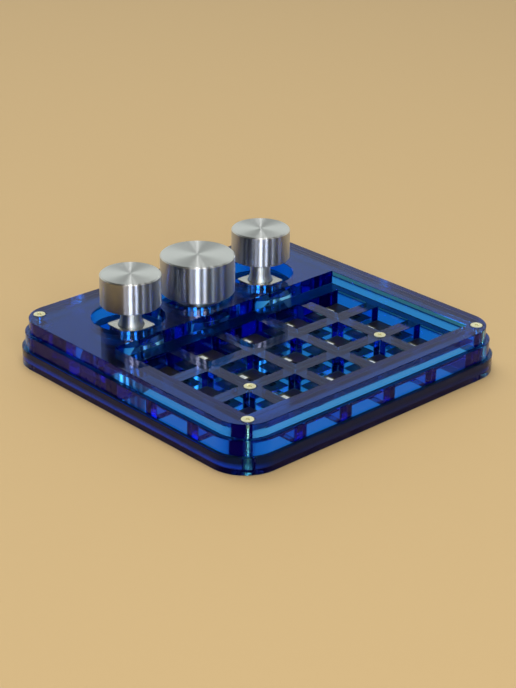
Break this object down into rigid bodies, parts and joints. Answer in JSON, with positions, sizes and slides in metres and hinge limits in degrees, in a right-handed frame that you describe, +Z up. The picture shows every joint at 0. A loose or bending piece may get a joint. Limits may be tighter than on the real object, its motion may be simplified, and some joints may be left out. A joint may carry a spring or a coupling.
{
  "type": "macro keypad",
  "caption": "Low square macro keypad of stepped clear blue sheets: a grid of open switch pockets behind a window, and a rear deck with metal push-and-turn knobs.",
  "frame": {"origin": "centre of the bottom face of the case, on the surface that it lies on", "axes": "+X along the rows of keys to the right, +Y from the keys towards the knobs at the back, +Z up"},
  "size_m": [0.117, 0.114, 0.031],
  "materials": {
    "blue_acrylic": "clear deep blue cast acrylic, polished faces and machined edges",
    "black_board": "black solder mask on a glass-fibre board",
    "brass_plated": "pale yellow plating, bright",
    "black_nylon": "moulded black nylon",
    "gold_contact": "gold flash over brass",
    "led_package": "white moulded package with a clear filled cup, flush with the board's upper face",
    "black_chip": "moulded chip package",
    "tinned_steel": "bright tin plating",
    "ceramic": "fired ceramic with tinned ends",
    "bright_steel": "bright nickel-plated sheet",
    "cast_alloy": "turned die-cast alloy",
    "ivory_plastic": "natural acetal",
    "spun_aluminium": "solid aluminium, circular spun top and polished side",
    "black_steel": "blackened steel"
  },
  "bodies": {
    "case": {"top_frame": "blue_acrylic", "switch_plate": "blue_acrylic", "bottom_case": "blue_acrylic", "circuit_board": "black_board", "corner_screws": "brass_plated", "corner_inserts": "brass_plated", "plate_screws": "brass_plated", "plate_nuts": "brass_plated", "socket_housings": "black_nylon", "socket_contacts": "gold_contact", "key_leds": "led_package", "key_diodes": "black_chip", "microcontroller": "black_chip", "flash_chip": "black_chip", "crystal": "tinned_steel", "voltage_regulator": "black_chip", "capacitors": "ceramic", "usb_shell": "tinned_steel", "usb_tongue": "black_chip", "left_encoder_base": "black_nylon", "left_encoder_cover": "bright_steel", "left_encoder_neck": "cast_alloy", "left_terminals": "tinned_steel", "left_detent_spring": "tinned_steel", "left_switch_dome": "tinned_steel", "centre_encoder_base": "black_nylon", "centre_encoder_cover": "bright_steel", "centre_encoder_neck": "cast_alloy", "centre_terminals": "tinned_steel", "centre_detent_spring": "tinned_steel", "centre_switch_dome": "tinned_steel", "right_encoder_base": "black_nylon", "right_encoder_cover": "bright_steel", "right_encoder_neck": "cast_alloy", "right_terminals": "tinned_steel", "right_detent_spring": "tinned_steel", "right_switch_dome": "tinned_steel"},
    "left_turning_disc": {"left_rotor": "ivory_plastic"},
    "left_control": {"left_shaft": "cast_alloy", "left_knob": "spun_aluminium", "left_set_screw": "black_steel"},
    "centre_turning_disc": {"centre_rotor": "ivory_plastic"},
    "centre_control": {"centre_shaft": "cast_alloy", "centre_knob": "spun_aluminium", "centre_set_screw": "black_steel"},
    "right_turning_disc": {"right_rotor": "ivory_plastic"},
    "right_control": {"right_shaft": "cast_alloy", "right_knob": "spun_aluminium", "right_set_screw": "black_steel"}
  },
  "joints": [
    {"name": "left_turn", "type": "hinge", "parent": "case", "child": "left_turning_disc", "pos_m": [-0.028, 0.02998, 0.0056], "axis": [0, 0, 1], "continuous": true},
    {"name": "left_press", "type": "slide", "parent": "left_turning_disc", "child": "left_control", "axis": [0, 0, 1], "range_m": [-0.0005, 0], "stiffness_N_per_m": 1500, "springref_m": 0.0012, "deforming": ["left_switch_dome"]},
    {"name": "centre_turn", "type": "hinge", "parent": "case", "child": "centre_turning_disc", "pos_m": [0.0006, 0.02998, 0.0056], "axis": [0, 0, 1], "continuous": true},
    {"name": "centre_press", "type": "slide", "parent": "centre_turning_disc", "child": "centre_control", "axis": [0, 0, 1], "range_m": [-0.0005, 0], "stiffness_N_per_m": 1500, "springref_m": 0.0012, "deforming": ["centre_switch_dome"]},
    {"name": "right_turn", "type": "hinge", "parent": "case", "child": "right_turning_disc", "pos_m": [0.0292, 0.02998, 0.0056], "axis": [0, 0, 1], "continuous": true},
    {"name": "right_press", "type": "slide", "parent": "right_turning_disc", "child": "right_control", "axis": [0, 0, 1], "range_m": [-0.0005, 0], "stiffness_N_per_m": 1500, "springref_m": 0.0012, "deforming": ["right_switch_dome"]}
  ]
}
